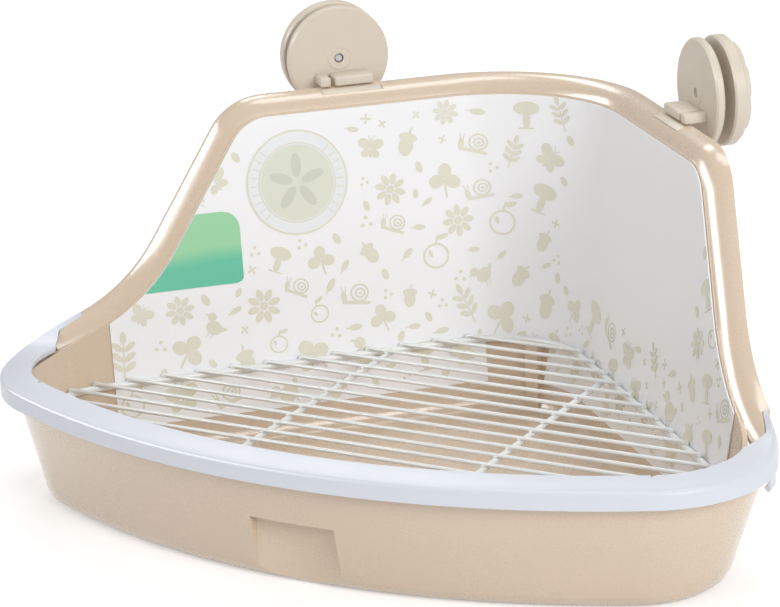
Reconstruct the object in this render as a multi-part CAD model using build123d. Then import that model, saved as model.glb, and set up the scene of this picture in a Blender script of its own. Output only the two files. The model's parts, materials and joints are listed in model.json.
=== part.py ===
from build123d import *
from math import asin, atan2, cos, pi, radians, sin, sqrt, tan
import os

# Corner litter tray that hangs on the bars of a small-animal cage.
# Millimetres, +Z up, standing on Z = 0. The curved front faces -Y, the square
# back corner points to +Y, and the tray is the same on both sides of X = 0.

# Tray in plan: depth over the white rim and the back corner, and its curves
overall_depth = 263.0
front_bow = 321.5           # radius of the rim's outer face along the front
end_bow = 52.0              # radius of the same face at both front ends
flange_corner_radius = 70.0

# Tray walls
wall = 2.0
floor_thickness = 2.2
wall_draft = 9.0            # lean of the two back walls, degrees
front_draft = 13.0          # lean of the curved front wall, degrees
back_height = 144.3         # inside edge of the flange on the back walls
front_height = 52.8         # top edge of the front wall
foot_radius = 6.0
floor_radius = 5.0
foot_bands = 3              # flats that make up each round foot

# The back walls step down to the front along two arcs and a straight slope
shoulder_radius = 20.7
slope_angle = 56.0
step_radius = 86.4          # hollow arc at the foot of the slope
step_past_tip = 29.15       # where the step would be level, past the rim's tips

# Rolled flange along the top of the back walls
flange_reach = 9.0
flange_rise = 6.5
flange_lip = 3.4
flange_skin = 1.8
flange_root = 1.5           # start of its section below the wall's top edge
crown_along = 0.32          # highest bend of its section, as shares of reach and rise
crown_up = 0.62
crown_facing = 51.5         # degrees below level that the skin's thickness points there
flange_tuck = 13.0          # how far the flange runs on under the rim's ends

# Bead round the front edge of the tray, which the rim's ridge clicks over
bead_reach = 1.3
bead_face = 1.2
bead_height = 3.8           # with its ramp

# Finger scoop under the middle of the front
scoop_width = 38.0
scoop_height = 28.5
scoop_depth = 9.0
scoop_bow = 53.0            # radius of its upright back

# White rim
rim_gap = 4.3               # rim's outer face to the front wall's outer face
rim_width = 13.6
rim_rise = 2.4              # inner edge of the deck above its outer edge
rim_skirt = 7.3
rim_skin = 1.9
rim_lip = 1.4               # turned-down inner edge of the deck
lip_drop = 0.6
lip_bevel = 0.8
crease_bulge = 0.7          # roundness of the crease between skirt and deck
deck_bulge = 0.27           # the deck is a little domed along the front,
deck_hollow = 0.6           # and hollow at the tips
haunch = 1.1                # thickening under the crest and inside the skirt
heel = 0.7
rim_soft = 0.2              # crest above the crease along the front
rim_seat = 0.3              # clearance over the tray's front edge and flange
ridge_reach = 0.7           # ridge inside the skirt
ridge_face = 1.3
ridge_height = 2.2
tip_turn = 36.75            # degrees round each end's centre, from +X to the tip
rim_cover = 1.6             # tips above the flange's outer edge
rim_lean = 3.2              # crest of the rim in from its outer face at the tips
rim_climb = 65.0            # degrees round each end over which the crest climbs
end_steps = 8               # sections that shape each end
deck_end = 14.5             # degrees round each end from the tip to the deck's end
deck_slant = 43.0
rim_strap = 5.0             # width from the deck's end to the tip
tab_start = 25.0            # degrees round each end from the tip to the catch tab
tab_span = 9.0
tab_inset = 0.3             # its faces in from the skirt's faces
tab_drop = 5.6
tab_bevel = 0.6
tab_catch = 1.4
catch_face = 1.6
catch_height = 2.4

# Wire floor grid
wire_gap = 0.35
grid_height = 35.2          # centre of the edge wire above the table
edge_wire = 3.0
wire_sides = 12             # flats that make up the round of the bent edge wire
bar_wire = 2.0
runner_wire = 3.0
bar_pitch = 11.0
bar_first = 11.6            # rearmost bar from the middle of the corner's edge wire
bar_last = 4.4              # least distance of the foremost bar from the front wire
grid_front_margin = 1.6     # edge wire to the rim's inner edge, in plan
grid_end_radius = 34.0
runner_spread = 103.0
bar_overhang = 0.6          # bar ends past the middle of the edge wire
rest_rib = 3.0
rest_turns = (-24, -9, 9, 24)   # degrees round the front's centre
rest_length = 30.0
rest_reach = 4.0
rest_clearance = 0.3
weld_gap = 0.05

# Printed card against the back walls
card = 0.5
card_gap = 0.15
card_margin = 1.0
card_short = 11.0           # ends of the card short of the rim's tips
card_band = 42.0            # the card keeps this close to the back walls
card_bottom = 15.5
card_notch_left = 27.7
card_notch_right = 12.7
card_notch_top = 36.0

# Cage clamps: a hook plate inside the cage and a knob outside it
clamp_along = 80.6          # distance of each clamp along its wall
clamp_height = 161.5
clamp_setback = 7.2         # flange's outer edge to the plate's front face
plate_radius = 23.2
plate_thickness = 3.8
pip_radius = 5.2            # raised round pad at the plate's middle
pip_rise = 0.4
clamp_opening = 4.4
disc_edge = 0.8             # bevel round the discs
knob_radius = 23.6
knob_rim = 4.6
grip_radius = 19.6
grip_thickness = 3.6
grip_notches = 8
notch_radius = 4.6
notch_bite = 1.8
screw_diameter = 4.0
screw_clearance = 0.06
bore_clearance = 0.15       # in the plate, where the nut guides the screw
screw_tip = 0.3             # tip behind the plate's front face at rest
screw_point = 0.5
screw_head = 7.8
head_height = 2.4
head_clearance = 0.3
drive_span = 4.6            # cross recess in the head
drive_slot = 0.9
drive_depth = 1.3
nut_flats = 7.0
nut_height = 2.2
nut_clearance = 0.1
hook_width = 23.0
hook_arm = 6.2
arm_round = 1.6
hook_tongue = 2.4
tongue_taper = 2.2
hook_drop = 9.0
hook_slack = 0.4
hook_inset = 3.4            # flange's outer edge to the slot's outer side
slot_spare = 4.0            # how much longer the slot is, towards the corner

half = sqrt(0.5)
root2 = sqrt(2)
far = 2 * overall_depth     # long side of cutting tools
arc_y = front_bow - overall_depth / 2
flange_y = overall_depth / 2 + flange_corner_radius * (root2 - 1)


def wall_setback(z, inset=0.0):
    """Flange's outer edge to the back wall's outer face at height z."""
    return flange_reach + (back_height - z) * tan(radians(wall_draft)) + inset


def front_setback(z, inset=0.0):
    """Rim's outer face to the front wall's outer face at height z."""
    return rim_gap + (front_height - z) * tan(radians(front_draft)) + inset


def corner_points(front_r, end_r, corner_line, corner_r):
    """Centres and tangent points of the right half of a plan outline."""
    line = corner_line - end_r * root2
    offset = line - arc_y
    ex = (2 * offset + sqrt(4 * offset**2 - 8 * (offset**2 - (front_r - end_r) ** 2))) / 4
    ey = line - ex
    stretch = front_r / (front_r - end_r)
    front_end = (ex * stretch, arc_y + (ey - arc_y) * stretch)
    wall_end = (ex + end_r * half, ey + end_r * half)
    knee_y = corner_line - corner_r * root2
    knee = (corner_r * half, knee_y + corner_r * half)
    return (ex, ey), front_end, wall_end, knee, knee_y


def plan_wire(front_r, end_r, corner_line, corner_r, z):
    """Closed outline: bowed front, two rounded ends, two walls, back corner."""
    (ex, ey), front_end, wall_end, knee, knee_y = corner_points(
        front_r, end_r, corner_line, corner_r)
    bend = (atan2(front_end[1] - ey, front_end[0] - ex) + pi / 4) / 2
    middle = (ex + end_r * cos(bend), ey + end_r * sin(bend))

    def left(p):
        return (-p[0], p[1])

    edges = [
        ThreePointArc(left(front_end), (0, arc_y - front_r), front_end),
        ThreePointArc(front_end, middle, wall_end),
        Line(wall_end, knee),
        ThreePointArc(knee, (0, knee_y + corner_r), left(knee)),
        Line(left(knee), left(wall_end)),
        ThreePointArc(left(wall_end), left(middle), left(front_end)),
    ]
    return Pos(0, 0, z) * Wire(edges)


def pan_sizes(z, inset):
    """Radii and wall line of the tray at height z, inset from its outer face."""
    front = front_setback(z, inset)
    back = wall_setback(z, inset)
    return front_bow - front, end_bow - front, flange_y - back * root2, flange_corner_radius - back


def pan_block(inset, bottom, top=back_height, foot=0.0):
    """The tray's outline carried up with its draft, as one solid with a round foot."""
    levels = [(front_height, 0), (top, 0)]
    for step in range(foot_bands + 1 if foot else 1):
        turn = pi / 2 * step / foot_bands
        levels.append((bottom + foot * (1 - cos(turn)), foot * (1 - sin(turn))))
    wires = [plan_wire(*pan_sizes(z, inset + pull), z) for z, pull in sorted(levels)]
    return Solid.make_loft(wires, ruled=True)


def wall_point(along, height, out=0.0):
    """Point on the right back wall's inner face, or outside it by out."""
    base = flange_y - wall_setback(0, wall) * root2
    lean = height * tan(radians(wall_draft)) + out
    return Vector((along + lean) * half, base + (lean - along) * half, height)


def step_height(past):
    """Height of the hollow arc at a distance back from where the step is level."""
    return front_height + step_radius - sqrt(step_radius**2 - max(0, past) ** 2)


def contour(lift=0.0):
    """Stations of the stepped top edge: distance along the wall, height."""
    angle = radians(slope_angle)
    round_r, hollow_r = shoulder_radius + lift, step_radius - lift
    top, low = back_height + lift, front_height + lift
    drop = top - low - (round_r + hollow_r) * (1 - cos(angle))
    level = (rim_ends()["tip_along"] + step_past_tip, low)
    slope_end = (level[0] - hollow_r * sin(angle), low + hollow_r * (1 - cos(angle)))
    slope_top = (slope_end[0] - drop / tan(angle), slope_end[1] + drop)
    start = (slope_top[0] - round_r * sin(angle), top)
    shoulder = (start[0] + round_r * sin(angle / 2), top - round_r * (1 - cos(angle / 2)))
    sweep = (level[0] - hollow_r * sin(angle / 2), low + hollow_r * (1 - cos(angle / 2)))
    return {"start": start, "shoulder": shoulder, "slope_top": slope_top,
            "slope_end": slope_end, "sweep": sweep, "level": level}


def turned_block(corner_y, low):
    """Tall block, turned by 45 degrees, with its back corner on X = 0."""
    block = Box(far, far, far, align=(Align.MAX, Align.MAX, Align.MIN))
    return Pos(0, corner_y, low) * Rot(Z=45) * block


def above_contour(lift=0.0):
    """Everything above the stepped top edge, for both back walls and the front."""
    c = contour(lift)
    low, sky = c["level"][1], back_height + far
    outline = Wire([
        ThreePointArc(c["start"], c["shoulder"], c["slope_top"]),
        Line(c["slope_top"], c["slope_end"]),
        ThreePointArc(c["slope_end"], c["sweep"], c["level"]),
        Line(c["level"], (far, low)),
        Line((far, low), (far, sky)),
        Line((far, sky), (c["start"][0], sky)),
        Line((c["start"][0], sky), c["start"]),
    ])
    base = flange_y - wall_setback(0, wall) * root2
    side = Plane(origin=(0, base, 0), x_dir=(half, -half, 0), z_dir=(-half, -half, 0))
    right = extrude(side * Face(outline), amount=far, both=True)
    return [right, mirror(right, Plane.YZ), turned_block(base - card_band * root2, low)]


def flange_path():
    """Inside edge of the flange from under a rim tip to the middle of the back."""
    c = contour()
    end = rim_ends()["tip_along"] + flange_tuck
    middle = (c["slope_end"][0] + end) / 2
    level = c["level"][0]
    front_r, end_r, line, corner_r = pan_sizes(back_height, wall)
    _, _, _, knee, knee_y = corner_points(front_r, end_r, line, corner_r)
    knee_point = Vector(knee[0], knee[1], back_height)
    bend = 3 * pi / 8
    return Wire([
        ThreePointArc(wall_point(end, step_height(level - end)),
                      wall_point(middle, step_height(level - middle)), wall_point(*c["slope_end"])),
        Line(wall_point(*c["slope_end"]), wall_point(*c["slope_top"])),
        ThreePointArc(wall_point(*c["slope_top"]), wall_point(*c["shoulder"]), wall_point(*c["start"])),
        Line(wall_point(*c["start"]), knee_point),
        ThreePointArc(knee_point, (corner_r * cos(bend), knee_y + corner_r * sin(bend), back_height),
                      (0, knee_y + corner_r, back_height)),
    ])


def flange_profile():
    """Section of the flange, out from the inner wall face and up."""
    reach, skin, edge = flange_reach + wall, flange_skin, flange_rise - flange_lip
    crown = (reach * crown_along, flange_rise * crown_up)
    facing = radians(crown_facing)
    return polygon_with_arc((0, -flange_root), crown, (reach, flange_rise), [
        (reach, edge), (reach - skin, edge), (reach - skin, flange_rise - skin),
        (crown[0] + skin * cos(facing), crown[1] - skin * sin(facing)), (wall, -flange_root)])


def polygon_with_arc(start, middle, end, points):
    """Closed wire: an arc, then straight lines through the points and back."""
    corners = [end, *points, start]
    return Wire([ThreePointArc(start, middle, end), *[Line(a, b) for a, b in zip(corners, corners[1:])]])


def make_flange():
    path = flange_path()
    section = Plane(origin=path.position_at(1), x_dir=(0, 1, 0), z_dir=(1, 0, 0)) * Face(flange_profile())
    right = sweep(section, path=path) - rim_room()
    return [right, mirror(right, Plane.YZ)]


def make_rests(grid):
    """Ribs that the grid's edge wire lies on, at the front and in the corner."""
    top = grid_height - edge_wire / 2 - rest_clearance
    inner_r = grid["front_r"] - rest_reach
    sits = (Align.CENTER, Align.MAX, Align.MIN)
    ribs = []
    for turn in rest_turns:
        ribs.append(Pos(0, arc_y, 0) * Rot(Z=turn) * Pos(0, -inner_r, 0) * Box(
            rest_rib, rest_length, top, align=sits))
    corner = grid["knee_y"] + grid["corner_r"] - rest_reach
    ribs.append(Pos(0, corner + rest_length, 0) * Box(2 * rest_rib, rest_length, top, align=sits))
    return ribs


def grid_outline():
    """Centre line of the grid's edge wire in plan."""
    off_wall = wall + card_gap + card + wire_gap + edge_wire / 2
    back = wall_setback(grid_height, off_wall)
    front_r = front_bow - rim_width - grid_front_margin - edge_wire / 2
    line = flange_y - back * root2
    corner_r = flange_corner_radius - back
    end_centre, front_end, wall_end, knee, knee_y = corner_points(
        front_r, grid_end_radius, line, corner_r)
    return {"front_r": front_r, "line": line, "corner_r": corner_r, "end_centre": end_centre,
            "front_end": front_end, "wall_end": wall_end, "knee": knee, "knee_y": knee_y}


def grid_half_width(grid, y):
    """Half the grid's width, between the middles of its edge wire, at y."""
    if y >= grid["knee"][1]:
        return sqrt(grid["corner_r"] ** 2 - (y - grid["knee_y"]) ** 2)
    if y >= grid["wall_end"][1]:
        return grid["line"] - y
    if y >= grid["front_end"][1]:
        ex, ey = grid["end_centre"]
        return ex + sqrt(grid_end_radius**2 - (y - ey) ** 2)
    return sqrt(grid["front_r"] ** 2 - (y - arc_y) ** 2)


def make_pan(grid):
    body = pan_block(0, 0, foot=foot_radius)
    hollow = pan_block(wall, floor_thickness, back_height + 1, floor_radius)
    scoop = scoop_shape(0)
    hollow -= scoop_shape(wall)
    body -= scoop
    shell = body - hollow
    for rib in make_rests(grid):
        shell += rib & body
    for tool in above_contour():
        shell -= tool
    for half_flange in make_flange():
        shell += half_flange
    shell += make_bead()
    for slot in clamp_slots():
        shell -= slot
    return shell


def scoop_shape(grow):
    """Hollow for the fingers, with a flat ceiling and a bowed upright back."""
    radius = scoop_bow + grow
    back = arc_y - front_bow + front_setback(scoop_height) + scoop_depth + grow
    stands = (Align.CENTER, Align.CENTER, Align.MIN)
    core = Pos(0, back - radius, 0) * Cylinder(radius, scoop_height + grow, align=stands)
    return core & Pos(0, back - radius / 2, 0) * Box(
        scoop_width + 2 * grow, radius, scoop_height + grow, align=stands)


def make_bead():
    """Bead along the front wall's outer face, as one turn about the front's centre."""
    sizes = pan_sizes(front_height, 0)
    front_r = sizes[0]
    _, front_end, _, _, _ = corner_points(*sizes)
    span = atan2(front_end[0], arc_y - front_end[1]) * 180 / pi
    section = Plane(origin=(0, arc_y, front_height), x_dir=(0, -1, 0), z_dir=(-1, 0, 0))
    outline = Polyline((front_r - wall, 0), (front_r + bead_reach, 0), (front_r + bead_reach, -bead_face),
                       (front_r - wall / 2, -bead_height), close=True)
    axis = Axis((0, arc_y, 0), (0, 0, 1))
    return revolve((section * make_face(outline)).rotate(axis, -span), axis, 2 * span)


def rim_ends():
    """The rim's outer outline: centre of the right end, its angles, and heights."""
    tip_height = step_height(step_past_tip)
    lean = (back_height - tip_height) * tan(radians(wall_draft))
    line = flange_y + (rim_skin + rim_seat - lean) * root2
    (ex, ey), front_end, wall_end, _, _ = corner_points(front_bow, end_bow, line, 1)
    base = flange_y - wall_setback(0, wall) * root2
    along = (wall_end[0] - wall_end[1] + base) * half
    return {"x": ex, "y": ey, "start": atan2(front_end[1] - ey, front_end[0] - ex),
            "tip": radians(tip_turn), "tip_along": along + end_bow * sin(radians(45 - tip_turn)),
            "crease": front_height + rim_seat + rim_skin - rim_soft,
            "top": tip_height + flange_rise + rim_cover}


def rim_crest(ends, angle):
    """The rim's crest, in from its outer face and up from the crease, and the deck's bulge."""
    share = max(0, 1 - (ends["tip"] - angle) / radians(rim_climb)) ** 2
    inset = rim_skin + (rim_lean - rim_skin) * share
    crest = rim_soft + (ends["top"] - ends["crease"] - rim_soft) * share
    return inset, crest, deck_bulge - (deck_bulge + deck_hollow) * share


def bulged_arc(start, end, bulge):
    """Arc whose middle lies to the left of the straight way from start to end."""
    (x1, y1), (x2, y2) = start, end
    share = bulge / sqrt((x2 - x1) ** 2 + (y2 - y1) ** 2)
    return ThreePointArc(start, ((x1 + x2) / 2 - (y2 - y1) * share, (y1 + y2) / 2 + (x2 - x1) * share), end)


def rim_profile(inset, crest, bulge, ridge=0.0):
    """Section of the rim: x inward from its outer face, y up from the crease."""
    w, s, edge, foot = rim_width, rim_skin, rim_rise, -rim_skirt
    inner = w - rim_lip
    start, top, deck = (0, -s), (inset, crest), (w - lip_bevel, edge)
    corners = [deck, (w, edge - lip_bevel), (w, edge - s - lip_drop), (inner, edge - s - lip_drop),
               (inner, edge - s), (inset + haunch, crest - s), (s, -s - heel)]
    if ridge:
        corners += [(s, foot + ridge_height), (s + ridge, foot + ridge_face), (s + ridge, foot)]
    else:
        corners += [(s, foot)]
    corners += [(0, foot), start]
    return Wire([bulged_arc(start, top, crease_bulge), bulged_arc(top, deck, bulge),
                 *[Line(a, b) for a, b in zip(corners, corners[1:])]])


def room_profile(inset, crest, _):
    """Section of the space that the rim and its clearance take from the flange."""
    w, s, foot = rim_width + rim_seat, rim_skin, -2 * rim_skirt
    under = s + rim_seat
    sky = back_height - front_height
    return Wire(Polyline((-s, foot), (under, foot), (under, -under - heel), (inset + haunch, crest - under),
                         (w - rim_lip, rim_rise - under), (w, rim_rise - under), (w, sky), (-s, sky),
                         close=True))


def end_frame(ends, angle):
    """Upright plane across the rim at an angle round its right end."""
    out = (cos(angle), sin(angle))
    return Plane(origin=(ends["x"] + end_bow * out[0], ends["y"] + end_bow * out[1], ends["crease"]),
                 x_dir=(-out[0], -out[1], 0), z_dir=(-out[1], out[0], 0))


def end_loft(ends, profile):
    """Loft round the right end, from the front arc to the tip."""
    turn = (ends["tip"] - ends["start"]) / end_steps
    angles = [ends["start"] + turn * n for n in range(end_steps + 1)]
    return Solid.make_loft([end_frame(ends, a) * profile(*rim_crest(ends, a)) for a in angles])


def strap_cut(ends, spare):
    """Takes the deck away from its slanted end to the tip, down to the strap."""
    radius = end_bow - rim_strap - spare
    angle = ends["tip"] - radians(deck_end)
    core = Pos(ends["x"], ends["y"], 0) * Cylinder(radius, far)
    middle = Pos(ends["x"] + radius * cos(angle), ends["y"] + radius * sin(angle), 0)
    beyond = middle * Rot(Z=tip_turn - deck_end + deck_slant) * Pos(0, spare, 0) * Box(
        far, far, far, align=(Align.CENTER, Align.MIN, Align.CENTER))
    return core & beyond


def rim_room():
    """What the flange gives up to the rim's right end."""
    ends = rim_ends()
    return end_loft(ends, room_profile) - strap_cut(ends, rim_seat)


def make_tab(ends):
    """Catch tab that hangs from the skirt near each tip."""
    root = heel - rim_skirt
    low = -rim_skirt - tab_drop
    outer, inner = tab_inset, rim_skin - tab_inset
    section = Polyline((outer, root), (outer, low + tab_bevel), (outer + tab_bevel, low), (inner, low),
                       (inner + tab_catch, low + catch_face), (inner, low + catch_height),
                       (inner, root), close=True)
    axis = Axis((ends["x"], ends["y"], 0), (0, 0, 1))
    first = ends["tip"] - radians(tab_start + tab_span)
    return revolve(end_frame(ends, first) * make_face(section), axis, tab_span)


def make_rim():
    ends = rim_ends()
    turn = pi / 2 + ends["start"]
    section = Plane(origin=(-front_bow * sin(turn), arc_y - front_bow * cos(turn), ends["crease"]),
                    x_dir=(sin(turn), cos(turn), 0), z_dir=(cos(turn), -sin(turn), 0))
    profile = rim_profile(*rim_crest(ends, ends["start"]), ridge_reach)
    front = revolve(section * Face(profile), Axis((0, arc_y, 0), (0, 0, 1)), 2 * turn * 180 / pi)
    end = end_loft(ends, rim_profile) - strap_cut(ends, 0) + make_tab(ends)
    return front + end + mirror(end, Plane.YZ)


def make_edge_wire(grid):
    path = plan_wire(grid["front_r"], grid_end_radius, grid["line"], grid["corner_r"], grid_height)
    section = RegularPolygon(edge_wire / 2, wire_sides, major_radius=False, rotation=180 / wire_sides)
    pieces = []
    for edge in path.edges():
        start = Plane(origin=edge.position_at(0), x_dir=(0, 0, 1), z_dir=edge.tangent_at(0))
        pieces.append(sweep(start * section, path=edge))
    ring = pieces[0]
    for piece in pieces[1:]:
        ring += piece
    return ring


def make_bars(grid):
    """Cross bars, from the front one back, lying on the edge wire."""
    level = grid_height + (edge_wire + bar_wire) / 2
    y = grid["knee_y"] + grid["corner_r"] - bar_first
    bars = []
    while y > arc_y - grid["front_r"] + bar_last:
        reach = grid_half_width(grid, y) + bar_overhang
        bars.append(Pos(0, y, level) * Rot(Y=90) * Cylinder(bar_wire / 2, 2 * reach))
        y -= bar_pitch
    return bars[::-1]


def make_runner(grid, side):
    """Long wire under the bars, welded to the edge wire at both ends."""
    x = runner_spread / 2
    reach = edge_wire / 2 + weld_gap
    front = arc_y - sqrt((grid["front_r"] - reach) ** 2 - (x + runner_wire / 2) ** 2)
    back = grid["line"] - x - runner_wire / 2 - reach * root2
    middle = (side * x, (front + back) / 2, grid_height + (edge_wire - runner_wire) / 2)
    return Pos(*middle) * Rot(X=90) * Cylinder(runner_wire / 2, back - front)


def make_card():
    """Thin card on both back walls, notched at the foot of the corner."""
    outer = pan_block(wall + card_gap, card_bottom, back_height + 1)
    inner = pan_block(wall + card_gap + card, card_bottom - 1, back_height + 2)
    sheet = outer - inner
    for tool in above_contour(-card_margin):
        sheet -= tool
    base = flange_y - wall_setback(0, wall) * root2
    sheet -= turned_block(base - card_band * root2, 0)
    along = Plane(origin=(0, base, 0), x_dir=(half, -half, 0), z_dir=(0, 0, 1))
    end = along * Pos(rim_ends()["tip_along"] - card_short, 0, 0) * Box(
        far, far, far, align=(Align.MIN, Align.CENTER, Align.CENTER))
    right_half = Pos(0, base, 0) * Box(far, far, far, align=(Align.MIN, Align.CENTER, Align.CENTER))
    sheet = sheet - end - mirror(end, Plane.YZ)
    for reach, side in ((card_notch_right, 1), (card_notch_left, -1)):
        notch = right_half & along * Pos(reach, 0, 0) * Box(
            far, far, 2 * card_notch_top, align=(Align.MAX, Align.CENTER, Align.CENTER))
        sheet -= notch if side > 0 else mirror(notch, Plane.YZ)
    return sheet


def clamp_place():
    """Local frame of the right clamp: x to the corner, y up, z out of the cage."""
    base = flange_y - wall_setback(0, wall) * root2
    out = wall_setback(0, wall) + clamp_setback
    return Plane(origin=((clamp_along + out) * half, base + (out - clamp_along) * half, clamp_height),
                 x_dir=(-half, half, 0), z_dir=(half, half, 0))


def clamp_slots():
    depth = hook_tongue + 2 * hook_slack
    width = hook_width + 2 * hook_slack + slot_spare
    slot = Box(width, 2 * flange_rise, depth, align=(Align.CENTER, Align.CENTER, Align.MAX))
    flange_top = back_height + flange_rise - clamp_height
    right = clamp_place() * Pos(slot_spare / 2, flange_top, -clamp_setback - hook_inset) * slot
    return [right, mirror(right, Plane.YZ)]


def disc(radius, height, z, bevelled=True):
    """Round disc standing on height z, with bevelled edges."""
    blank = Cylinder(radius, height, align=(Align.CENTER, Align.CENTER, Align.MIN))
    if bevelled:
        blank = chamfer(blank.edges().filter_by(GeomType.CIRCLE), disc_edge)
    return Pos(0, 0, z) * blank


def make_plate():
    """Disc on the inner side of the cage bars, with its hook and the nut's pocket."""
    arm_bottom = back_height + flange_rise + rest_clearance - clamp_height
    tongue_z = -clamp_setback - hook_inset - hook_slack
    hangs = (Align.CENTER, Align.MIN, Align.MAX)
    arm = Pos(0, arm_bottom, 0) * Box(hook_width, hook_arm, hook_tongue - tongue_z, align=hangs)
    arm = fillet(arm.edges().filter_by(Axis.Y).sort_by(Axis.Z)[:2], arm_round)
    tongue = Pos(0, arm_bottom - hook_drop, tongue_z) * Box(
        hook_width, hook_drop + hook_arm / 2, hook_tongue, align=hangs)
    tongue = chamfer(tongue.edges().filter_by(Axis.Z).sort_by(Axis.Y)[:2], tongue_taper)
    pip = disc(pip_radius, 2 * pip_rise, -pip_rise, False)
    depth = nut_height + 2 * nut_clearance
    pocket = Pos(0, 0, plate_thickness - depth) * extrude(
        RegularPolygon(nut_flats / 2 + nut_clearance, 6, major_radius=False), amount=depth)
    bore = Cylinder(screw_diameter / 2 + bore_clearance, 4 * plate_thickness)
    return disc(plate_radius, plate_thickness, 0) + pip + arm + tongue - bore - pocket


def make_nut():
    blank = extrude(RegularPolygon(nut_flats / 2, 6, major_radius=False), amount=nut_height)
    seat = plate_thickness - nut_height - nut_clearance
    return Pos(0, 0, seat) * blank - Cylinder(screw_diameter / 2 + screw_clearance, far)


def make_knob():
    """Hand knob outside the cage: a flat disc with a scalloped grip."""
    face = plate_thickness + clamp_opening
    back = face + knob_rim + grip_thickness
    knob = disc(knob_radius, knob_rim, face) + disc(grip_radius, grip_thickness, face + knob_rim, False)
    for notch in PolarLocations(grip_radius + notch_radius - notch_bite, grip_notches):
        knob -= notch * disc(notch_radius, 2 * grip_thickness, face + knob_rim, False)
    knob -= disc(screw_head / 2 + head_clearance, far, back - head_height - head_clearance, False)
    return knob - Cylinder(screw_diameter / 2 + screw_clearance, far)


def make_screw():
    under_head = plate_thickness + clamp_opening + knob_rim + grip_thickness - head_height
    shank = disc(screw_diameter / 2, under_head - screw_tip, screw_tip, False)
    shank = chamfer(shank.edges().filter_by(GeomType.CIRCLE).sort_by(Axis.Z)[0], screw_point)
    head = disc(screw_head / 2, head_height, under_head, False)
    drive = Box(drive_span, drive_slot, 2 * drive_depth) + Box(drive_slot, drive_span, 2 * drive_depth)
    return shank + head - Pos(0, 0, under_head + head_height) * drive


def main():
    grid = grid_outline()
    nodes = {"pan": make_pan(grid), "rim_frame": make_rim(), "printed_card": make_card(),
             "grid_edge_wire": make_edge_wire(grid)}
    for number, bar in enumerate(make_bars(grid), start=1):
        nodes[f"grid_bar_{number:02d}"] = bar
    nodes["grid_runner_left"] = make_runner(grid, -1)
    nodes["grid_runner_right"] = make_runner(grid, 1)
    place = clamp_place()
    for name, shape in (("clamp_plate", make_plate()), ("clamp_nut", make_nut()),
                        ("clamp_knob", make_knob()), ("clamp_screw", make_screw())):
        nodes[f"{name}_right"] = place * shape
        nodes[f"{name}_left"] = mirror(place * shape, Plane.YZ)
    os.makedirs("parts", exist_ok=True)
    for name, shape in nodes.items():
        export_step(shape, f"parts/{name}.step")


main()
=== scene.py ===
import bmesh
import bpy
import json
from math import atan2, cos, degrees, pi, radians, sin, sqrt
from mathutils import Matrix, Vector
from mathutils.bvhtree import BVHTree
from random import Random


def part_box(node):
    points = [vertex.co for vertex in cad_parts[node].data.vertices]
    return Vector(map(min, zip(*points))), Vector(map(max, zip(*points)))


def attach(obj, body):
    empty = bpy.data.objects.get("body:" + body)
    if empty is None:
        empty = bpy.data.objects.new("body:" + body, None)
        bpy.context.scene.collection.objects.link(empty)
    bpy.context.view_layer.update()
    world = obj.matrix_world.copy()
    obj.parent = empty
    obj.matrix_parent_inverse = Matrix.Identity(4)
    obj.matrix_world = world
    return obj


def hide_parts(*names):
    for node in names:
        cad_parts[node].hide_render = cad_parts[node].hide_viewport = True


# Looks of the corner litter tray, in metres and in the frame of its CAD model.
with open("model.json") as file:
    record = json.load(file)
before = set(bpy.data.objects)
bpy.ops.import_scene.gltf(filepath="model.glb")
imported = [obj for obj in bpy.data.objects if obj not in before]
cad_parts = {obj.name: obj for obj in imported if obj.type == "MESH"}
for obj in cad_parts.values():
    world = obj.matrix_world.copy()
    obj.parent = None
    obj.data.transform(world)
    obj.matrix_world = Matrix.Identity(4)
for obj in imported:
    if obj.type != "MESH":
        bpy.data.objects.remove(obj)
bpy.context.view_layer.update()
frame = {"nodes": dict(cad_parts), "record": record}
nodes = frame["nodes"]
mm = 0.001


# The camera stands where the photo was taken from
cameraSetup = {"azimuth": 28.58, "elevation": 18.01, "roll": -1.96, "place": (633.8, -1197.0, 523.9),
               "lens": 156.9, "sensor": 36.0, "farthest": 20}


def makeCamera(setup):
    azimuth, elevation, roll = (radians(setup[k]) for k in ("azimuth", "elevation", "roll"))
    back = Vector((sin(azimuth) * cos(elevation), -cos(azimuth) * cos(elevation), sin(elevation)))
    level = Vector((cos(azimuth), sin(azimuth), 0))
    upright = back.cross(level)
    right = level * cos(roll) + upright * sin(roll)
    top = upright * cos(roll) - level * sin(roll)
    data = bpy.data.cameras.new("photoCamera")
    data.lens = setup["lens"]
    data.sensor_width = setup["sensor"]
    data.clip_end = setup["farthest"]
    camera = bpy.data.objects.new("photoCamera", data)
    turn = Matrix((right, top, back)).transposed().to_4x4()
    camera.matrix_world = Matrix.Translation(Vector(setup["place"]) * mm) @ turn
    bpy.context.scene.collection.objects.link(camera)
    bpy.context.scene.camera = camera
    print("camera", tuple(round(v, 3) for v in camera.location))


# Soft boxes round the table, and a pale room
studioSetup = {
    "world": 0.42,
    "worldColour": (1.0, 1.0, 1.0),
    "lamps": {  # place, aimed at, width, height, watts
        "keyBox": ((1.6, -1.0, 1.05), (0, 0, 0.05), 0.9, 0.9, 22.5),
        "leftStrip": ((-1.12, -1.08, 0.86), (-0.05, 0, 0.1), 1.5, 0.42, 4.5),
        "sheenStrip": ((-1.35, -0.75, 0.82), (-0.05, 0, 0.1), 2.2, 0.6, 40.0),
        "topBox": ((0.0, 0.45, 1.6), (0, 0, 0.05), 0.8, 0.5, 6.0),
        "backBox": ((-0.8, 0.9, 1.25), (0, 0, 0.1), 0.5, 0.5, 4.0)},
    "sheenOnly": ("sheenStrip",),  # seen in reflections alone
    "floorSize": 8.0,
    "floorDrop": 0.0003,
    "floorColour": (0.86, 0.86, 0.865),
    "floorGlow": 0.36}


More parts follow.
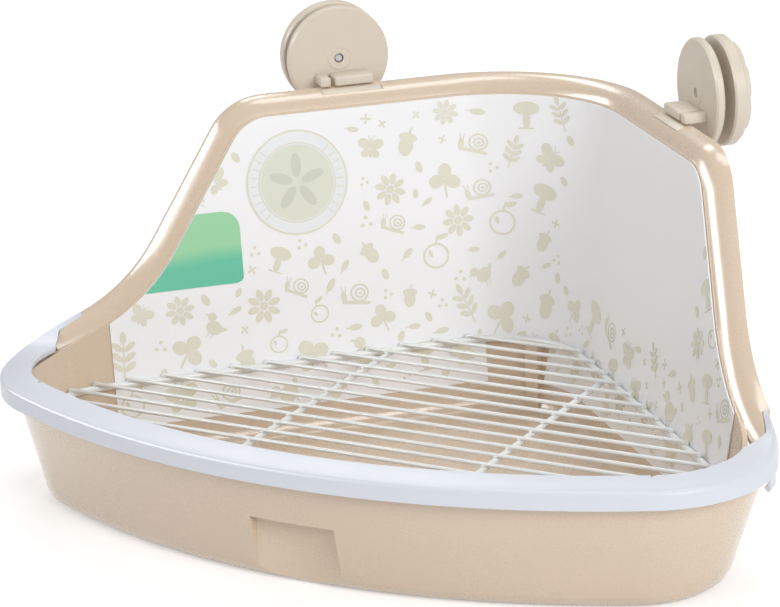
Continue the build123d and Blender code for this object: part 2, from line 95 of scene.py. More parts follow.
def aimed(place, target):
    turn = (Vector(place) - Vector(target)).to_track_quat("Z", "Y")
    return Matrix.Translation(place) @ turn.to_matrix().to_4x4()


def makeStudio(setup):
    scene = bpy.context.scene
    scene.view_settings.view_transform = "Standard"
    world = bpy.data.worlds.new("paleRoom")
    world.use_nodes = True
    background = world.node_tree.nodes["Background"]
    background.inputs["Color"].default_value = (*setup["worldColour"], 1)
    background.inputs["Strength"].default_value = setup["world"]
    scene.world = world
    for name, (place, target, wide, tall, watts) in setup["lamps"].items():
        lamp = bpy.data.lights.new(name, "AREA")
        lamp.shape = "RECTANGLE"
        lamp.size = wide
        lamp.size_y = tall
        lamp.energy = watts
        holder = bpy.data.objects.new(name, lamp)
        holder.matrix_world = aimed(place, target)
        holder.visible_diffuse = name not in setup["sheenOnly"]
        scene.collection.objects.link(holder)
    bm = bmesh.new()
    bmesh.ops.create_grid(bm, x_segments=4, y_segments=4, size=setup["floorSize"] / 2,
                          matrix=Matrix.Translation((0, 0, -setup["floorDrop"])))
    floor = newObject(bm, "studioFloor", floorMaterial(setup))
    print("studio", len(setup["lamps"]), "lamps")


def floorMaterial(setup):
    material, tree = blankMaterial("floorPaper")
    diffuse = tree.nodes.new("ShaderNodeBsdfDiffuse")
    diffuse.inputs["Color"].default_value = (*setup["floorColour"], 1)
    glow = tree.nodes.new("ShaderNodeEmission")
    seen = tree.nodes.new("ShaderNodeLightPath")
    anyView = addMath(tree, "MAXIMUM", seen.outputs["Is Camera Ray"], seen.outputs["Is Glossy Ray"])
    strength = addMath(tree, "MULTIPLY", anyView, setup["floorGlow"])
    tree.links.new(strength, glow.inputs["Strength"])
    both = tree.nodes.new("ShaderNodeAddShader")
    tree.links.new(diffuse.outputs[0], both.inputs[0])
    tree.links.new(glow.outputs[0], both.inputs[1])
    tree.links.new(both.outputs[0], tree.nodes["Material Output"].inputs["Surface"])
    return material


# Small helpers for meshes and node trees
def newObject(bm, name, material, body=None, stands=(), smooth=None):
    if smooth is not None:
        for face in bm.faces:
            face.smooth = True
        for edge in bm.edges:
            edge.smooth = edge.calc_face_angle(0) < radians(smooth)  # sharper edges stay hard
    mesh = bpy.data.meshes.new(name)
    bm.to_mesh(mesh)
    bm.free()
    mesh.materials.append(material)
    piece = bpy.data.objects.new(name, mesh)
    bpy.context.scene.collection.objects.link(piece)
    if body:
        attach(piece, body)
    if stands:
        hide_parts(*stands)
    return piece


def blankMaterial(name):
    material = bpy.data.materials.new(name)
    material.use_nodes = True
    tree = material.node_tree
    tree.nodes.remove(tree.nodes["Principled BSDF"])
    return material, tree


# A number or colour is set on the socket, and another node's output is linked to it
def feed(tree, socket, value):
    if isinstance(value, bpy.types.NodeSocket):
        tree.links.new(value, socket)
    else:
        socket.default_value = (*value, 1) if isinstance(value, tuple) else value


def addMath(tree, operation, a, b=0.0, clamp=False):
    node = tree.nodes.new("ShaderNodeMath")
    node.operation = operation
    node.use_clamp = clamp
    for socket, value in zip(node.inputs, (a, b)):
        feed(tree, socket, value)
    return node.outputs[0]


def addNoise(tree, vector, scale, detail=2.0, roughness=0.5):
    noise = tree.nodes.new("ShaderNodeTexNoise")
    values = {"Vector": vector, "Scale": scale, "Detail": detail, "Roughness": roughness}
    for name, value in values.items():
        feed(tree, noise.inputs[name], value)
    return noise.outputs["Fac"]


def addRange(tree, value, low, high, toLow=0.0, toHigh=1.0):
    node = tree.nodes.new("ShaderNodeMapRange")
    for socket, v in zip(node.inputs, (value, low, high, toLow, toHigh)):
        feed(tree, socket, v)
    return node.outputs[0]


# A swing to both sides of nothing, where a noise runs through its middle band
def addSwing(tree, noise, band, reach):
    return addRange(tree, noise, *band, -reach, reach)


def addMix(tree, factor, a, b):
    node = tree.nodes.new("ShaderNodeMix")
    node.data_type = "RGBA"
    for number, value in ((0, factor), (6, a), (7, b)):  # the colour pair's own sockets
        feed(tree, node.inputs[number], value)
    return node.outputs[2]


def objectPlace(tree):
    return tree.nodes.new("ShaderNodeTexCoord").outputs["Object"]


surfaceOutputs = {
    "Colour": "NodeSocketColor", "Roughness": "NodeSocketFloat", "Height": "NodeSocketFloat"}


# A node group for a surface: a tuple is a colour socket, a number a value socket
def makeGroup(name, inputs):
    group = bpy.data.node_groups.new(name, "ShaderNodeTree")
    for label, value in inputs.items():
        kind = "NodeSocketColor" if isinstance(value, tuple) else "NodeSocketFloat"
        socket = group.interface.new_socket(label, in_out="INPUT", socket_type=kind)
        socket.default_value = (*value, 1) if isinstance(value, tuple) else value
    for label, kind in surfaceOutputs.items():
        group.interface.new_socket(label, in_out="OUTPUT", socket_type=kind)
    return group, group.nodes.new("NodeGroupInput").outputs, group.nodes.new("NodeGroupOutput").inputs


# Moulded plastic: soft patches of tone, a fine spark-eroded grain and faint rubbing marks
plasticSkin = {
    "patchNoise": (3.0, 0.6), "patchBand": (0.35, 0.7), "patchGloss": 0.04, "patchRise": 2.0,
    "rubStretch": (1.0, 1.0, 9.0), "rubTurn": (0.5, 0.3, 0.2), "rubNoise": (55.0, 6.0, 0.75),
    "rubBand": (0.6, 0.72), "rubGloss": 0.07, "grainGloss": 0.03, "midBand": (0.3, 0.7),
    "reliefDepth": 0.0002}


def plasticGroup():
    skin = plasticSkin
    group, put, out = makeGroup("mouldedSurface", {
        "Colour": (0.8, 0.8, 0.8), "Patch Colour": (0.7, 0.7, 0.7), "Patch Size": 30.0, "Patches": 0.5,
        "Roughness": 0.4, "Grain Size": 900.0})
    place = objectPlace(group)
    patches = addNoise(group, place, put["Patch Size"], *skin["patchNoise"])
    patchBand = addRange(group, patches, *skin["patchBand"])
    patchShare = addMath(group, "MULTIPLY", patchBand, put["Patches"])
    stretch = group.nodes.new("ShaderNodeMapping")
    stretch.inputs["Scale"].default_value = skin["rubStretch"]
    stretch.inputs["Rotation"].default_value = skin["rubTurn"]
    group.links.new(place, stretch.inputs["Vector"])
    rubs = addRange(group, addNoise(group, stretch.outputs[0], *skin["rubNoise"]), *skin["rubBand"])
    grain = addNoise(group, place, put["Grain Size"])
    colour = addMix(group, patchShare, put["Colour"], put["Patch Colour"])
    group.links.new(colour, out["Colour"])
    patchSwing = addSwing(group, patches, skin["midBand"], skin["patchGloss"])
    grainSwing = addSwing(group, grain, skin["midBand"], skin["grainGloss"])
    rough = addMath(group, "ADD", put["Roughness"], patchSwing)
    rough = addMath(group, "ADD", rough, addMath(group, "MULTIPLY", rubs, skin["rubGloss"]))
    rough = addMath(group, "ADD", rough, grainSwing, True)
    group.links.new(rough, out["Roughness"])
    height = addMath(group, "ADD", grain, addMath(group, "MULTIPLY", patches, skin["patchRise"]))
    group.links.new(height, out["Height"])
    return group


def placedGroup(tree, group, values):
    node = tree.nodes.new("ShaderNodeGroup")
    node.node_tree = group
    for label, value in values.items():
        feed(tree, node.inputs[label], value)
    return node.outputs


def finishShader(tree, colour, roughness, height, bump, reliefDepth, constants):
    shader = tree.nodes.new("ShaderNodeBsdfPrincipled")
    feed(tree, shader.inputs["Base Color"], colour)
    feed(tree, shader.inputs["Roughness"], roughness)
    relief = tree.nodes.new("ShaderNodeBump")
    for label, value in (("Strength", bump), ("Distance", reliefDepth), ("Height", height)):
        feed(tree, relief.inputs[label], value)
    tree.links.new(relief.outputs[0], shader.inputs["Normal"])
    for label, value in constants.items():
        shader.inputs[label].default_value = value
    tree.links.new(shader.outputs[0], tree.nodes["Material Output"].inputs["Surface"])


def plasticMaterial(name, look):
    material, tree = blankMaterial(name)
    outputs = placedGroup(tree, groups["plastic"], look["surface"])
    finishShader(tree, outputs["Colour"], outputs["Roughness"], outputs["Height"], look["bump"],
                 plasticSkin["reliefDepth"], look["shader"])
    return material


plasticLooks = {
    "trayPlastic": {
        "surface": {"Colour": (0.690, 0.556, 0.424), "Patch Colour": (0.668, 0.530, 0.398),
                    "Patch Size": 22.0, "Patches": 0.6, "Roughness": 0.27, "Grain Size": 1500.0},
        "bump": 0.03, "shader": {"IOR": 1.49, "Coat Weight": 0.7, "Coat Roughness": 0.16}},
    "clampPlastic": {
        "surface": {"Colour": (0.710, 0.635, 0.530), "Patch Colour": (0.690, 0.610, 0.500),
                    "Patch Size": 60.0, "Patches": 0.6, "Roughness": 0.40, "Grain Size": 2000.0},
        "bump": 0.14, "shader": {"IOR": 1.49, "Coat Weight": 0.08, "Coat Roughness": 0.25}},
    "rimPlastic": {
        "surface": {"Colour": (0.684, 0.712, 0.774), "Patch Colour": (0.672, 0.698, 0.760),
                    "Patch Size": 18.0, "Patches": 0.6, "Roughness": 0.38, "Grain Size": 1500.0},
        "bump": 0.10, "shader": {"IOR": 1.49, "Coat Weight": 0.10, "Coat Roughness": 0.2}},
    "wireCoating": {
        "surface": {"Colour": (0.800, 0.820, 0.815), "Patch Colour": (0.745, 0.768, 0.765),
                    "Patch Size": 140.0, "Patches": 0.8, "Roughness": 0.30, "Grain Size": 1200.0},
        "bump": 0.25, "shader": {"IOR": 1.52, "Coat Weight": 0.25, "Coat Roughness": 0.15}},
}


# Coated card and printing ink: paper fibres under a clear varnish
paperSkin = {
    "sheetNoise": 14.0, "sheetBand": (0.35, 0.65), "sheetShade": 0.5, "sheetGloss": 0.05,
    "midBand": (0.3, 0.7), "fibreNoise": (1700.0, 3.0, 0.6), "fibreBand": (0.4, 0.7),
    "reliefDepth": 0.00005, "waveNoise": 26.0, "waveReach": 0.0012}


def paperGroup():
    skin = paperSkin
    group, put, out = makeGroup("varnishedPaper", {
        "Colour": (0.9, 0.9, 0.9), "Shade Colour": (0.86, 0.86, 0.86), "Roughness": 0.25,
        "Speckle": 0.3})
    place = objectPlace(group)
    sheet = addNoise(group, place, skin["sheetNoise"])
    fibre = addNoise(group, place, *skin["fibreNoise"])
    shade = addRange(group, sheet, *skin["sheetBand"], 0.0, skin["sheetShade"])
    fibreBand = addRange(group, fibre, *skin["fibreBand"])
    share = addMath(group, "ADD", shade, addMath(group, "MULTIPLY", fibreBand, put["Speckle"]), True)
    group.links.new(addMix(group, share, put["Colour"], put["Shade Colour"]), out["Colour"])
    gloss = addSwing(group, sheet, skin["midBand"], skin["sheetGloss"])
    group.links.new(addMath(group, "ADD", put["Roughness"], gloss, True), out["Roughness"])
    group.links.new(fibre, out["Height"])
    return group


def paperMaterial(name, look):
    skin = paperSkin
    material, tree = blankMaterial(name)
    outputs = placedGroup(tree, groups["paper"], look["surface"])
    colour = outputs["Colour"]
    if "upper" in look:  # ink that changes softly with height
        place = objectPlace(tree)
        parts = tree.nodes.new("ShaderNodeSeparateXYZ")
        tree.links.new(place, parts.inputs[0])
        noise = addNoise(tree, place, skin["waveNoise"])
        wave = addSwing(tree, noise, skin["midBand"], skin["waveReach"])
        low, high = (z * mm for z in look["between"])
        share = addRange(tree, addMath(tree, "ADD", parts.outputs["Z"], wave), low, high)
        colour = addMix(tree, share, colour, look["upper"])
    finishShader(tree, colour, outputs["Roughness"], outputs["Height"], look["bump"],
                 skin["reliefDepth"], look["shader"])
    return material


paperLooks = {
    "cardStock": {
        "surface": {"Colour": (0.930, 0.934, 0.952), "Shade Colour": (0.912, 0.916, 0.938),
                    "Roughness": 0.36, "Speckle": 0.25},
        "bump": 0.10, "shader": {"Coat Weight": 0.3, "Coat Roughness": 0.28}},
    "motifInk": {
        "surface": {"Colour": (0.765, 0.748, 0.615), "Shade Colour": (0.800, 0.785, 0.675),
                    "Roughness": 0.26, "Speckle": 0.5},
        "bump": 0.05, "shader": {"Coat Weight": 0.30, "Coat Roughness": 0.12}},
    "badgeWhite": {
        "surface": {"Colour": (0.880, 0.900, 0.915), "Shade Colour": (0.840, 0.865, 0.885),
                    "Roughness": 0.25, "Speckle": 0.3},
        "bump": 0.05, "shader": {"Coat Weight": 0.3, "Coat Roughness": 0.12}},
    "badgeSage": {
        "surface": {"Colour": (0.745, 0.775, 0.660), "Shade Colour": (0.775, 0.800, 0.700),
                    "Roughness": 0.26, "Speckle": 0.5},
        "bump": 0.05, "shader": {"Coat Weight": 0.3, "Coat Roughness": 0.12}},
    "badgeMoss": {
        "surface": {"Colour": (0.640, 0.665, 0.560), "Shade Colour": (0.680, 0.705, 0.605),
                    "Roughness": 0.26, "Speckle": 0.6},
        "bump": 0.05, "shader": {"Coat Weight": 0.3, "Coat Roughness": 0.12}},
    "labelGreen": {
        "surface": {"Colour": (0.135, 0.580, 0.390), "Shade Colour": (0.165, 0.610, 0.420),
                    "Roughness": 0.25, "Speckle": 0.35},
        "upper": (0.350, 0.705, 0.410), "between": (82.5, 89.5),
        "bump": 0.05, "shader": {"Coat Weight": 0.35, "Coat Roughness": 0.12}},
}


# Zinc on the screws and nuts: a blotchy passivated skin
zincLook = {"blotchNoise": (420.0, 4.0, 0.6), "blotchBand": (0.35, 0.65), "colour": (0.62, 0.63, 0.64),
            "shade": (0.50, 0.51, 0.53), "midBand": (0.3, 0.7), "roughness": (0.26, 0.42), "bump": 0.1,
            "reliefDepth": 0.0001}


def zincMaterial(look):
    material, tree = blankMaterial("zincSteel")
    blotches = addNoise(tree, objectPlace(tree), *look["blotchNoise"])
    colour = addMix(tree, addRange(tree, blotches, *look["blotchBand"]), look["colour"], look["shade"])
    finishShader(tree, colour, addRange(tree, blotches, *look["midBand"], *look["roughness"]), blotches,
                 look["bump"], look["reliefDepth"], {"Metallic": 1.0})
    return material


groups = {"plastic": plasticGroup(), "paper": paperGroup()}
materials = {name: plasticMaterial(name, look) for name, look in plasticLooks.items()}
materials.update({name: paperMaterial(name, look) for name, look in paperLooks.items()})
materials["zincSteel"] = zincMaterial(zincLook)
print("materials", len(materials))


# Pieces that start from the CAD shape: flat faces are merged, and edges rounded where a radius is given
mouldSetup = {"merge": 2e-6, "cutMerge": 1e-6, "flat": 0.4, "sharp": 32, "bevelSteps": 2}
mouldedPieces = {  # piece: CAD node, body, material, record slot, edge radius in mm
    "trayShell": ("pan", "tray", "trayPlastic", "tray_plastic", 0.35),
    "rimFrame": ("rim_frame", "rim", "rimPlastic", "rim_plastic", 0.3),
    "linerCard": ("printed_card", "tray", "cardStock", "card", 0.0),
    "gridEdgeWire": ("grid_edge_wire", "grid", "wireCoating", "coated_wire", 0.0),
}
for side in ("left", "right"):
    for part, body in (("Screw", "screw"), ("Nut", "clamp")):
        mouldedPieces[f"clamp{part}_{side}"] = (
            f"clamp_{part.lower()}_{side}", f"{body}_{side}", "zincSteel", "zinc_steel", 0.0)


# Cuts the given faces, or else the whole mesh, along a plane
def cutAcross(bm, place, facing, merge, faces=None, clear=False):
    if faces is None:
        parts = bm.verts[:] + bm.edges[:] + bm.faces[:]
    else:
        parts = [*{v for f in faces for v in f.verts}, *{e for f in faces for e in f.edges}, *faces]
    return bmesh.ops.bisect_plane(bm, geom=parts, dist=merge, plane_co=place, plane_no=facing,
                                  clear_outer=clear)


def eased(share):
    share = min(1.0, max(0.0, share))
    return share * share * (3 - 2 * share)


# Below the rim's skirt the outer side of the tray's two ends swells out almost to the rim, and past
# the rim's tips the swelling fades upwards
endSetup = {  # turns in degrees round an upright line at each end: starts, full, still full, gone
    "centre": (115.5, -53.5), "turns": (-65.0, 28.0, 45.0, 85.0), "footSwell": 0.5, "skirtSwell": 9.0,
    "skirt": 47.0, "hidden": 51.5, "bareFrom": 6.0, "bareTurns": (30.0, 38.0),
    "levels": 9, "slices": 27, "beyond": 90.0, "outward": 0.25, "hair": 0.01}


def swellEnds(bm):
    s = endSetup
    climb = (s["hidden"] - s["bareFrom"]) / s["levels"]
    for z in (s["skirt"], *[s["bareFrom"] + climb * (n + 1) for n in range(s["levels"])]):
        cutAcross(bm, (0, 0, z * mm), (0, 0, 1), mouldSetup["cutMerge"])
    first, full, past, last = s["turns"]
    for side in (1, -1):
        centre = Vector((side * s["centre"][0], s["centre"][1], 0)) * mm
        for n in range(s["slices"]):
            turn = radians(first + (last - first) * (n + 1) / (s["slices"] + 1))
            faces = [f for f in bm.faces if any(side * v.co.x > s["beyond"] * mm for v in f.verts)
                     and all(v.co.z < (s["hidden"] + s["hair"]) * mm for v in f.verts)]
            cutAcross(bm, centre, (-side * sin(turn), cos(turn), 0), mouldSetup["cutMerge"], faces)
    bm.normal_update()
    bareFrom, bareTo = s["bareTurns"]
    for v in bm.verts:
        side = 1 if v.co.x > 0 else -1
        out = Vector((side * v.co.x / mm - s["centre"][0], v.co.y / mm - s["centre"][1], 0))
        turn, height = degrees(atan2(out.y, out.x)), v.co.z / mm
        out.normalize()
        facing = Vector((side * v.normal.x, v.normal.y, 0)).dot(out)
        if first < turn < last and height < s["hidden"] - s["hair"] and facing > s["outward"]:
            rise = eased((turn - first) / (full - first)) * eased((last - turn) / (last - past))
            swell = s["footSwell"] + (s["skirtSwell"] - s["footSwell"]) * min(1, height / s["skirt"])
            bare = eased((turn - bareFrom) / (bareTo - bareFrom))
            fade = 1 - bare * eased((height - s["bareFrom"]) / (s["hidden"] - s["bareFrom"]))
            step = out * swell * rise * fade * mm
            v.co += Vector((side * step.x, step.y, 0))


# The card's top edge runs level between its two shoulders
cardTrim = 7.5  # its top edge below the tray's highest point


def trimCard(bm):
    top = Vector((0, 0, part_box("pan")[1].z - cardTrim * mm))
    cut = cutAcross(bm, top, (0, 0, 1), mouldSetup["cutMerge"], clear=True)
    rim = [e for e in cut["geom_cut"] if isinstance(e, bmesh.types.BMEdge)]
    bmesh.ops.triangle_fill(bm, edges=rim, normal=(0, 0, 1), use_beauty=True)


shaping = {"trayShell": swellEnds, "linerCard": trimCard}


def makeMoulded(name, node, body, material, slot, edgeRadius):
    s = mouldSetup
    bm = bmesh.new()
    bm.from_mesh(nodes[node].data)
    bmesh.ops.remove_doubles(bm, verts=bm.verts, dist=s["merge"])
    bmesh.ops.dissolve_limit(bm, angle_limit=radians(s["flat"]), verts=bm.verts, edges=bm.edges,
                             delimit={"NORMAL"})
    if name in shaping:
        shaping[name](bm)
    piece = newObject(bm, name, materials[material], body, (node,), smooth=s["sharp"])
    if edgeRadius:
        soften = piece.modifiers.new("softEdges", "BEVEL")
        soften.width = edgeRadius * mm
        soften.segments = s["bevelSteps"]
        soften.limit_method = "ANGLE"
        soften.angle_limit = radians(s["sharp"])
        soften.harden_normals = True


for name, values in mouldedPieces.items():
    makeMoulded(name, *values)
print("moulded pieces", len(mouldedPieces))


# Screw clamps: inside the cage bars a plate with a hook in two lugs, and behind them a knob. Each is
# made in mm in its own frame: x along the wall, y up, z out from the plate's inner face.
clampSetup = {
    "jointDepth": 12.0,  # the knob's joint lies this far out from the plate's inner face
    "steps": 128, "merge": 0.001, "sharp": 28,
    # sections of both discs: radius and z
    "plate": [(2.15, -0.4), (5.0, -0.4), (5.3, 0.0), (22.4, 0.0), (23.2, 0.8), (23.2, 3.0), (22.4, 3.8),
              (4.2, 3.8), (4.2, 1.4), (2.15, 1.4)],
    "knob": [(2.06, 8.2), (22.8, 8.2), (23.58, 9.0), (23.58, 13.0), (22.9, 13.7), (21.9, 13.9),
             (21.6, 14.3), (21.5, 15.6), (20.7, 16.4), (4.2, 16.4), (4.2, 13.7), (2.06, 13.7)],
    "lugs": [(-11.5, -6.6), (-4.8, 13.0)], "lugTop": 4.3, "lugFront": -10.1, "lugRound": 1.1,
    "roundSteps": 3, "seat": 0.3,
    "tongue": (-11.7, 15.6), "tongueDrop": 9.0, "tongueFrom": -13.6, "tongueTo": -10.1, "headBand": 1.0,
    "over": 0.15,  # the tongue's head stands this far over the flange beside its slot
    "probeAt": -15.0, "probeFrom": 40.0,
    "gripFrom": 13.8, "gripRadius": 20.0, "notches": 8, "bite": 1.3, "notchPower": 3}


def surfaceTree(node):
    mesh = nodes[node].data
    faces = [tuple(p.vertices) for p in mesh.polygons]
    return BVHTree.FromPolygons([v.co for v in mesh.vertices], faces)


def clampPlace(side):
    joints = frame["record"]["behaviour"]["joints"]
    joint = next(j for j in joints if j["name"] == f"knob_{side}_turn")
    axis, up = Vector(joint["axis"]).normalized(), Vector((0, 0, 1))
    origin = Vector(joint["pos_m"]) - axis * clampSetup["jointDepth"] * mm
    turn = Matrix((up.cross(axis), up, axis)).transposed().to_4x4()
    return Matrix.Translation(origin) @ turn @ Matrix.Scale(mm, 4)


def spinSection(bm, section):
    corners = [bm.verts.new((x, 0, z)) for x, z in section]
    edges = [bm.edges.new(pair) for pair in zip(corners, corners[1:] + corners[:1])]
    bmesh.ops.spin(bm, geom=corners + edges, cent=(0, 0, 0), axis=(0, 0, 1), angle=2 * pi,
                   steps=clampSetup["steps"], use_merge=True, use_duplicate=False)
    bmesh.ops.remove_doubles(bm, verts=bm.verts, dist=clampSetup["merge"])


# A block with round edges between two places on each axis, in either order
def roundBlock(bm, xs, ys, zs, edgeRadius):
    low, high = (Vector((pick(xs), pick(ys), pick(zs))) for pick in (min, max))
    place = Matrix.Translation((low + high) / 2) @ Matrix.Diagonal((*(high - low), 1))
    verts = bmesh.ops.create_cube(bm, size=1, matrix=place)["verts"]
    edges = list({e for v in verts for e in v.link_edges})
    bmesh.ops.bevel(bm, geom=edges, offset=edgeRadius, segments=clampSetup["roundSteps"], profile=0.5,
                    affect="EDGES", material=-1)


# How far the tray's flange lies over the given height, beside the slot for the hook
def flangeOver(place, x, y, z):
    hit = panTree.ray_cast(place @ Vector((x, clampSetup["probeFrom"], z)), Vector((0, 0, -1)))[0]
    return (place.inverted() @ hit).y - y


def finishClamp(bm, place, name, body, node):
    bmesh.ops.transform(bm, matrix=place, verts=bm.verts)
    bmesh.ops.recalc_face_normals(bm, faces=bm.faces)
    newObject(bm, name, materials["clampPlastic"], body, (node,),
              smooth=clampSetup["sharp"])


def makePlate(side):
    s, place = clampSetup, clampPlace(side)
    bottom = (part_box("pan")[1].z - place.translation.z) / mm + s["seat"]
    toCorner = 1 if side == "right" else -1
    bm = bmesh.new()
    spinSection(bm, s["plate"])
    for lug in s["lugs"]:
        roundBlock(bm, [toCorner * x for x in lug], (bottom, bottom + s["lugTop"]),
                   (s["lugFront"], s["lugRound"]), s["lugRound"])
    already = set(bm.verts)
    roundBlock(bm, [toCorner * x for x in s["tongue"]], (bottom - s["tongueDrop"], bottom),
               (s["tongueFrom"], s["tongueTo"]), s["over"])
    for v in set(bm.verts) - already:
        if v.co.y > bottom - s["headBand"]:
            v.co.y += flangeOver(place, toCorner * s["probeAt"], bottom, v.co.z) + s["over"]
    finishClamp(bm, place, f"clampPlate_{side}", f"clamp_{side}", f"clamp_plate_{side}")


def makeKnob(side):
    s = clampSetup
    bm = bmesh.new()
    spinSection(bm, s["knob"])
    for v in bm.verts:
        reach = Vector((v.co.x, v.co.y, 0))
        if v.co.z > s["gripFrom"] and reach.length > s["gripRadius"]:
            notch = max(0.0, cos(s["notches"] * atan2(reach.y, reach.x))) ** s["notchPower"]
            v.co -= reach.normalized() * s["bite"] * notch
    finishClamp(bm, clampPlace(side), f"clampKnob_{side}", f"knob_{side}", f"clamp_knob_{side}")


panTree = surfaceTree("pan")
for side in ("left", "right"):
    makePlate(side)
    makeKnob(side)
print("clamps")


# Straight wires of the floor grid: coated rods with rounded ends
rodSetup = {"sides": 18, "endRound": 0.45, "endSteps": 4, "slim": 0.86, "sharp": 60, "hair": 1e-6}


def makeRod(name, node, axis):
    low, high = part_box(node)
    length = (high - low)[axis]
    radius = (high - low).z / 2 * rodSetup["slim"]
    middle = (low + high) / 2
    middle.z = low.z + radius if axis == 0 else high.z - radius
    turn = Matrix.Rotation(pi / 2, 4, "Y" if axis == 0 else "X")
    bm = bmesh.new()
    bmesh.ops.create_cone(bm, cap_ends=True, segments=rodSetup["sides"], radius1=radius, radius2=radius,
                          depth=length, matrix=Matrix.Translation(middle) @ turn)
    hair = rodSetup["hair"]
    ends = [e for e in bm.edges if abs(abs((e.verts[0].co - middle)[axis]) - length / 2) < hair
            and abs((e.verts[0].co - e.verts[1].co)[axis]) < hair]
    bmesh.ops.bevel(bm, geom=ends, offset=radius * rodSetup["endRound"], segments=rodSetup["endSteps"],
                    profile=0.5, affect="EDGES", material=-1)
    bmesh.ops.recalc_face_normals(bm, faces=bm.faces)
    newObject(bm, name, materials["wireCoating"], "grid", (node,),
              smooth=rodSetup["sharp"])


barNodes = sorted(n for n in nodes if n.startswith("grid_bar_"))
for node in barNodes:
    makeRod("gridBar" + node[-3:], node, 0)
for side in ("left", "right"):
    makeRod(f"gridRunner_{side}", f"grid_runner_{side}", 1)


# The dipped coating gathers where wires are welded
beadSetup = {"overEdge": (1.45, 1.12, 1.02), "overRunner": (1.08, 1.45, 0.85), "barOverhang": 0.6,
             "sink": 0.25, "fineness": 2, "sharp": 180}


def makeBeads():
    s = beadSetup
    bm = bmesh.new()

    def bead(x, y, z, size):
        place = Matrix.Translation((x, y, z)) @ Matrix.Diagonal((*size, 1))
        bmesh.ops.create_icosphere(bm, subdivisions=s["fineness"], radius=mm, matrix=place)

    runners = [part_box(f"grid_runner_{side}") for side in ("left", "right")]
    for node in barNodes:
        low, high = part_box(node)
        y = (low.y + high.y) / 2
        z = low.z + s["sink"] * mm
        for x in (low.x + s["barOverhang"] * mm, high.x - s["barOverhang"] * mm):
            bead(x, y, z, s["overEdge"])
        for runnerLow, runnerHigh in runners:
            x = (runnerLow.x + runnerHigh.x) / 2
            if low.x < x < high.x and runnerLow.y < y < runnerHigh.y:
                bead(x, y, z, s["overRunner"])
    newObject(bm, "weldCoating", materials["wireCoating"], "grid", smooth=s["sharp"])


makeBeads()
print("grid", len(barNodes), "bars")


# Print on the card: flat ink shapes are laid out in mm along the walls and up them, then wrapped on to
# the card, each side of whose bend is an eighth of a turn
printSetup = {
    "cornerRadius": 70.0, "wrapRadius": 49.75, "rayReach": 80.0, "mostSlanted": -0.5,
    "clipHalvings": 9, "discSides": 22, "lineSides": 12, "stripe": 2.5, "merge": 1e-5, "lift": 0.09,
    "roomAhead": 100.0}
cardTree = surfaceTree("printed_card")
cornerAxis = Vector((0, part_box("pan")[1].y - printSetup["cornerRadius"] * mm, 0))
bendReach = printSetup["wrapRadius"] * pi / 4


# Place and facing of the card's inner face at u mm along the walls from the middle and z mm up, or None
def onCard(u, z):
    side = 1 if u >= 0 else -1
    past = max(0.0, abs(u) - bendReach)
    angle = min(abs(u), bendReach) / printSetup["wrapRadius"]
    out = Vector((side * sin(angle), cos(angle), 0))
    along = Vector((side * sqrt(0.5), -sqrt(0.5), 0)) * past * mm
    start = cornerAxis + along + Vector((0, 0, z * mm))
    hit, normal = cardTree.ray_cast(start, out, printSetup["rayReach"] * mm)[:2]
    if hit is None or normal.dot(out) > printSetup["mostSlanted"]:
        return None
    return hit, normal


# The last value from inside to outside whose place still lies on the card, found by halving
def lastOnCard(inside, outside, placeOf, halvings):
    for _ in range(halvings):
        middle = (inside + outside) / 2
        if onCard(*placeOf(middle)):
            inside = middle
        else:
            outside = middle
    return inside


# The point drawn in towards a centre that lies on the card, until it lies on the card too
def clipped(point, centre):
    def between(share):
        return [c + (p - c) * share for p, c in zip(point, centre)]

    if onCard(*point):
        return point
    return between(lastOnCard(0.0, 1.0, between, printSetup["clipHalvings"]))


def turnedAt(at, x, y, turn):
    return at @ Matrix.Translation((x, y, 0)) @ Matrix.Rotation(turn, 4, "Z")


# A filled or hollow ellipse in a motif's own frame
def inkDisc(bm, at, sides, x, y, wide, tall, turn=0.0, hole=0.0):
    place = turnedAt(at, x, y, radians(turn))
    rings = []
    for share in ((1.0, hole) if hole else (1.0,)):
        shape = place @ Matrix.Diagonal((wide * share, tall * share, 1, 1))
        ring = bmesh.ops.create_circle(bm, cap_ends=not hole, segments=sides, radius=1, matrix=shape)
        rings.append(ring["verts"])
    if hole:
        edges = {e for ring in rings for v in ring for e in v.link_edges}
        bmesh.ops.bridge_loops(bm, edges=list(edges))
    return [v for ring in rings for v in ring], place.translation


# A straight stroke with round ends
def inkLine(bm, at, x1, y1, x2, y2, width):
    reach = Vector((x2 - x1, y2 - y1, 0))
    place = turnedAt(at, (x1 + x2) / 2, (y1 + y2) / 2, atan2(reach.y, reach.x))
    verts = bmesh.ops.create_circle(bm, cap_ends=True, segments=printSetup["lineSides"],
                                    radius=width / 2, matrix=Matrix())["verts"]
    for v in verts:
        v.co.x += reach.length / 2 if v.co.x > 0 else -reach.length / 2
        v.co = place @ v.co
    return verts, place.translation


def inkStroke(bm, at, discSides, shape, *values):
    return inkDisc(bm, at, discSides, *values) if shape == "disc" else inkLine(bm, at, *values)


def onRing(radius, turn):
    return radius * cos(radians(turn)), radius * sin(radians(turn))


